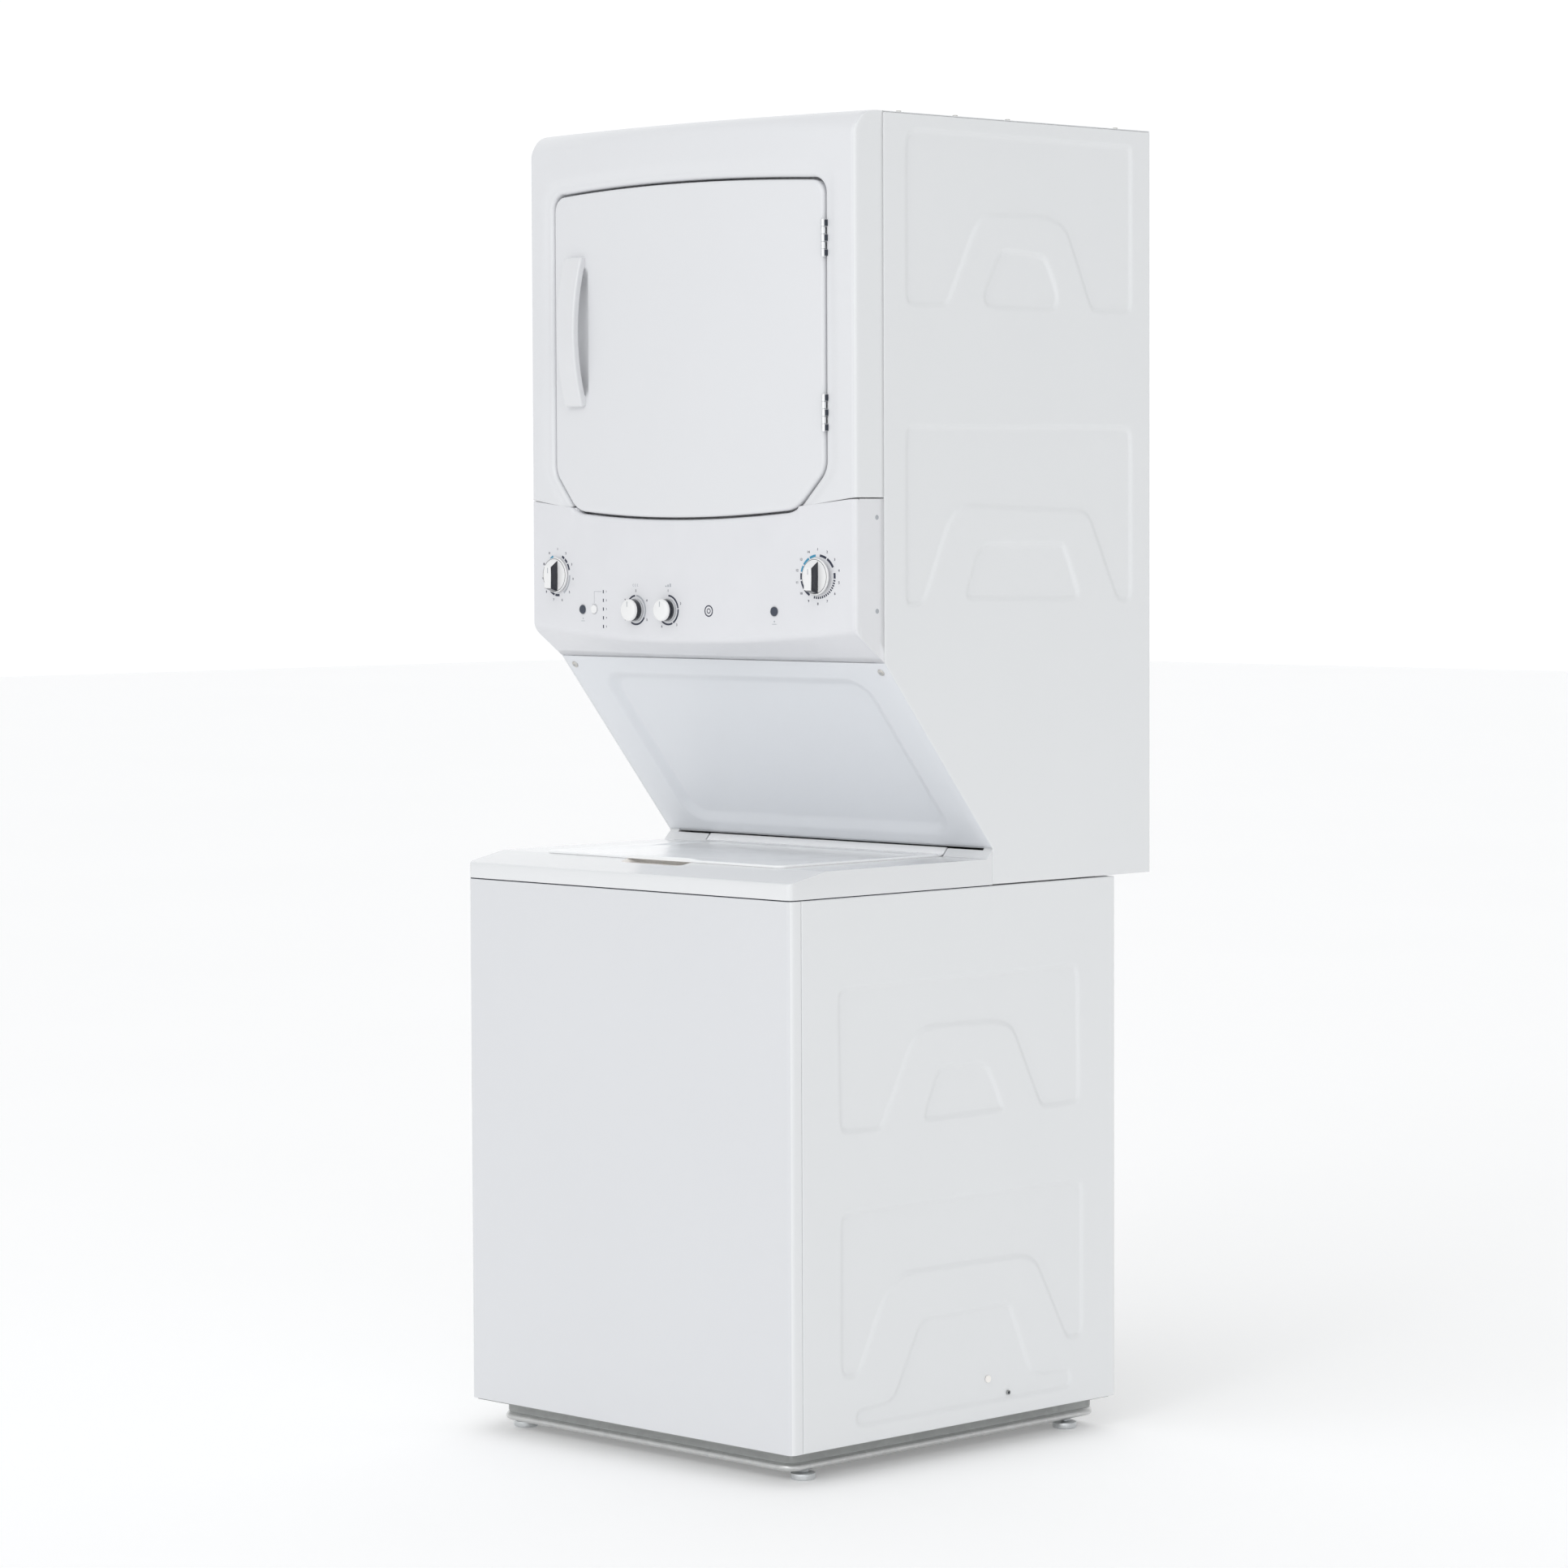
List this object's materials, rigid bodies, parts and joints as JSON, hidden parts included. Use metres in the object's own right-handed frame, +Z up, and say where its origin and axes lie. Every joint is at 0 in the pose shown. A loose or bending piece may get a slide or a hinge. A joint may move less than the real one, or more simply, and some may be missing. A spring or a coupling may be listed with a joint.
{
  "type": "washer dryer stack",
  "caption": "Free-standing laundry centre: a bow-fronted dryer with side-hinged door and control fascia over a top-loading washer with lift-up lid, on levelling feet.",
  "frame": {"origin": "centre of the overall footprint, on the floor under the levelling feet", "axes": "+Z up; the door, lid edge and controls face -Y; X runs along the width, -X is the handle side"},
  "size_m": [0.6794, 0.786, 1.9296],
  "materials": {
    "white_paint": "gloss enamel",
    "white_panel": "gloss enamel",
    "white_plastic": "moulded gloss",
    "white_handle": "moulded gloss",
    "knob_white": "moulded gloss",
    "button_dark": "satin",
    "lens_dark": "clear over dark",
    "galvanised": "galvanised",
    "foot_steel": "blackened steel",
    "screw_steel": "zinc plated",
    "hinge_steel": "nickel plated",
    "inner_steel": "bare sheet",
    "tub_plastic": "moulded",
    "basket_steel": "perforated stainless",
    "agitator_plastic": "moulded",
    "casting": "die cast",
    "motor_shell": "black enamel",
    "belt_rubber": "ribbed rubber",
    "black_plastic": "moulded",
    "duct_steel": "galvanised",
    "drum_enamel": "enamel",
    "baffle_plastic": "moulded",
    "filter_frame": "moulded with mesh",
    "valve_plastic": "moulded"
  },
  "bodies": {
    "cabinet": {"washer_base_pan": "galvanised", "washer_front_panel": "white_paint", "washer_side_panel_left": "white_paint", "washer_side_panel_right": "white_paint", "washer_rear_panel": "galvanised", "washer_top_cover": "white_paint", "outer_tub": "tub_plastic", "suspension_rods": "inner_steel", "washer_gearcase": "casting", "washer_motor": "motor_shell", "washer_belt": "belt_rubber", "drain_pump": "black_plastic", "dryer_side_panel_left": "white_paint", "dryer_side_panel_right": "white_paint", "dryer_top_cover": "white_paint", "dryer_rear_panel": "galvanised", "rear_support_shelf": "galvanised", "dryer_floor": "inner_steel", "slanted_panel": "white_panel", "dryer_front_panel": "white_paint", "control_fascia": "white_plastic", "status_lenses": "lens_dark", "control_switches": "black_plastic", "front_bulkhead": "inner_steel", "dryer_motor": "motor_shell", "blower_housing": "duct_steel", "exhaust_duct": "duct_steel", "drum_belt": "belt_rubber", "heater_duct": "duct_steel", "water_inlet_valve": "valve_plastic", "power_inlet_cover": "galvanised", "door_hinge_leaves": "hinge_steel", "cabinet_screws": "screw_steel"},
    "door": {"door_outer_panel": "white_paint", "door_inner_panel": "white_paint", "door_handle": "white_handle", "door_hinge_straps": "hinge_steel"},
    "lid": {"washer_lid": "white_paint"},
    "basket": {"wash_basket": "basket_steel"},
    "agitator": {"agitator": "agitator_plastic", "washer_drive_pulley": "casting"},
    "washer_rotor": {"washer_motor_pulley": "inner_steel"},
    "drum": {"dryer_drum": "drum_enamel", "drum_baffles": "baffle_plastic"},
    "dryer_rotor": {"drum_drive_pulley": "inner_steel", "blower_wheel": "black_plastic"},
    "idler": {"idler_pulley": "black_plastic"},
    "lint_filter": {"lint_filter": "filter_frame"},
    "washer_cycle_knob": {"washer_cycle_knob": "knob_white"},
    "dryer_cycle_knob": {"dryer_cycle_knob": "knob_white"},
    "temperature_knob": {"temperature_knob": "knob_white"},
    "load_size_knob": {"load_size_knob": "knob_white"},
    "washer_start_button": {"washer_start_button": "button_dark"},
    "option_button": {"option_button": "knob_white"},
    "dryer_start_button": {"dryer_start_button": "button_dark"},
    "foot_front_left": {"levelling_foot_front_left": "foot_steel"},
    "foot_front_right": {"levelling_foot_front_right": "foot_steel"},
    "foot_rear_left": {"levelling_foot_rear_left": "foot_steel"},
    "foot_rear_right": {"levelling_foot_rear_right": "foot_steel"}
  },
  "joints": [
    {"name": "door_swing", "type": "hinge", "parent": "cabinet", "child": "door", "pos_m": [0.2846, -0.2674, 1.63], "axis": [0, 0, 1], "range_deg": [0, 150]},
    {"name": "lid_swing", "type": "hinge", "parent": "cabinet", "child": "lid", "pos_m": [0, 0.027, 0.864], "axis": [-1, 0, 0], "range_deg": [0, 47]},
    {"name": "basket_spin", "type": "hinge", "parent": "cabinet", "child": "basket", "pos_m": [0, -0.075, 0.4], "axis": [0, 0, 1], "continuous": true},
    {"name": "agitator_turn", "type": "hinge", "parent": "cabinet", "child": "agitator", "pos_m": [0, -0.075, 0.4], "axis": [0, 0, 1], "continuous": true},
    {"name": "washer_motor_turn", "type": "hinge", "parent": "cabinet", "child": "washer_rotor", "pos_m": [0.235, 0.215, 0.11], "axis": [0, 0, 1], "continuous": true},
    {"name": "drum_turn", "type": "hinge", "parent": "cabinet", "child": "drum", "pos_m": [0, 0.057, 1.603], "axis": [0, 1, 0], "continuous": true},
    {"name": "dryer_motor_turn", "type": "hinge", "parent": "cabinet", "child": "dryer_rotor", "pos_m": [-0.2, 0.007, 1.256], "axis": [0, 1, 0], "continuous": true},
    {"name": "idler_turn", "type": "hinge", "parent": "cabinet", "child": "idler", "pos_m": [-0.12692, 0.062, 1.23696], "axis": [0, 1, 0], "continuous": true},
    {"name": "lint_filter_lift", "type": "slide", "parent": "cabinet", "child": "lint_filter", "axis": [0, 0, 1], "range_m": [0, 0.18]},
    {"name": "washer_cycle_turn", "type": "hinge", "parent": "cabinet", "child": "washer_cycle_knob", "pos_m": [-0.2734, -0.273, 1.2726], "axis": [0, 1, 0], "continuous": true},
    {"name": "dryer_cycle_turn", "type": "hinge", "parent": "cabinet", "child": "dryer_cycle_knob", "pos_m": [0.2734, -0.273, 1.2734], "axis": [0, 1, 0], "continuous": true},
    {"name": "temperature_turn", "type": "hinge", "parent": "cabinet", "child": "temperature_knob", "pos_m": [-0.0882, -0.273, 1.2228], "axis": [0, 1, 0], "range_deg": [-240, 0]},
    {"name": "load_size_turn", "type": "hinge", "parent": "cabinet", "child": "load_size_knob", "pos_m": [-0.018, -0.273, 1.2235], "axis": [0, 1, 0], "range_deg": [0, 210]},
    {"name": "washer_start_press", "type": "slide", "parent": "cabinet", "child": "washer_start_button", "axis": [0, 1, 0], "range_m": [0, 0.002], "stiffness_N_per_m": 400},
    {"name": "option_press", "type": "slide", "parent": "cabinet", "child": "option_button", "axis": [0, 1, 0], "range_m": [0, 0.002], "stiffness_N_per_m": 400},
    {"name": "dryer_start_press", "type": "slide", "parent": "cabinet", "child": "dryer_start_button", "axis": [0, 1, 0], "range_m": [0, 0.002], "stiffness_N_per_m": 400},
    {"name": "foot_front_left_turn", "type": "hinge", "parent": "cabinet", "child": "foot_front_left", "pos_m": [-0.2936, -0.3252, 0.03], "axis": [0, 0, 1], "continuous": true},
    {"name": "foot_front_right_turn", "type": "hinge", "parent": "cabinet", "child": "foot_front_right", "pos_m": [0.2936, -0.3252, 0.03], "axis": [0, 0, 1], "continuous": true},
    {"name": "foot_rear_left_turn", "type": "hinge", "parent": "cabinet", "child": "foot_rear_left", "pos_m": [-0.2936, 0.2251, 0.03], "axis": [0, 0, 1], "continuous": true},
    {"name": "foot_rear_right_turn", "type": "hinge", "parent": "cabinet", "child": "foot_rear_right", "pos_m": [0.2936, 0.2251, 0.03], "axis": [0, 0, 1], "continuous": true}
  ],
  "couplings": [
    {"joint": "washer_motor_turn", "follows": "agitator_turn", "ratio": 3.8452},
    {"joint": "dryer_motor_turn", "follows": "drum_turn", "ratio": 22.343},
    {"joint": "idler_turn", "follows": "drum_turn", "ratio": -12.85}
  ]
}
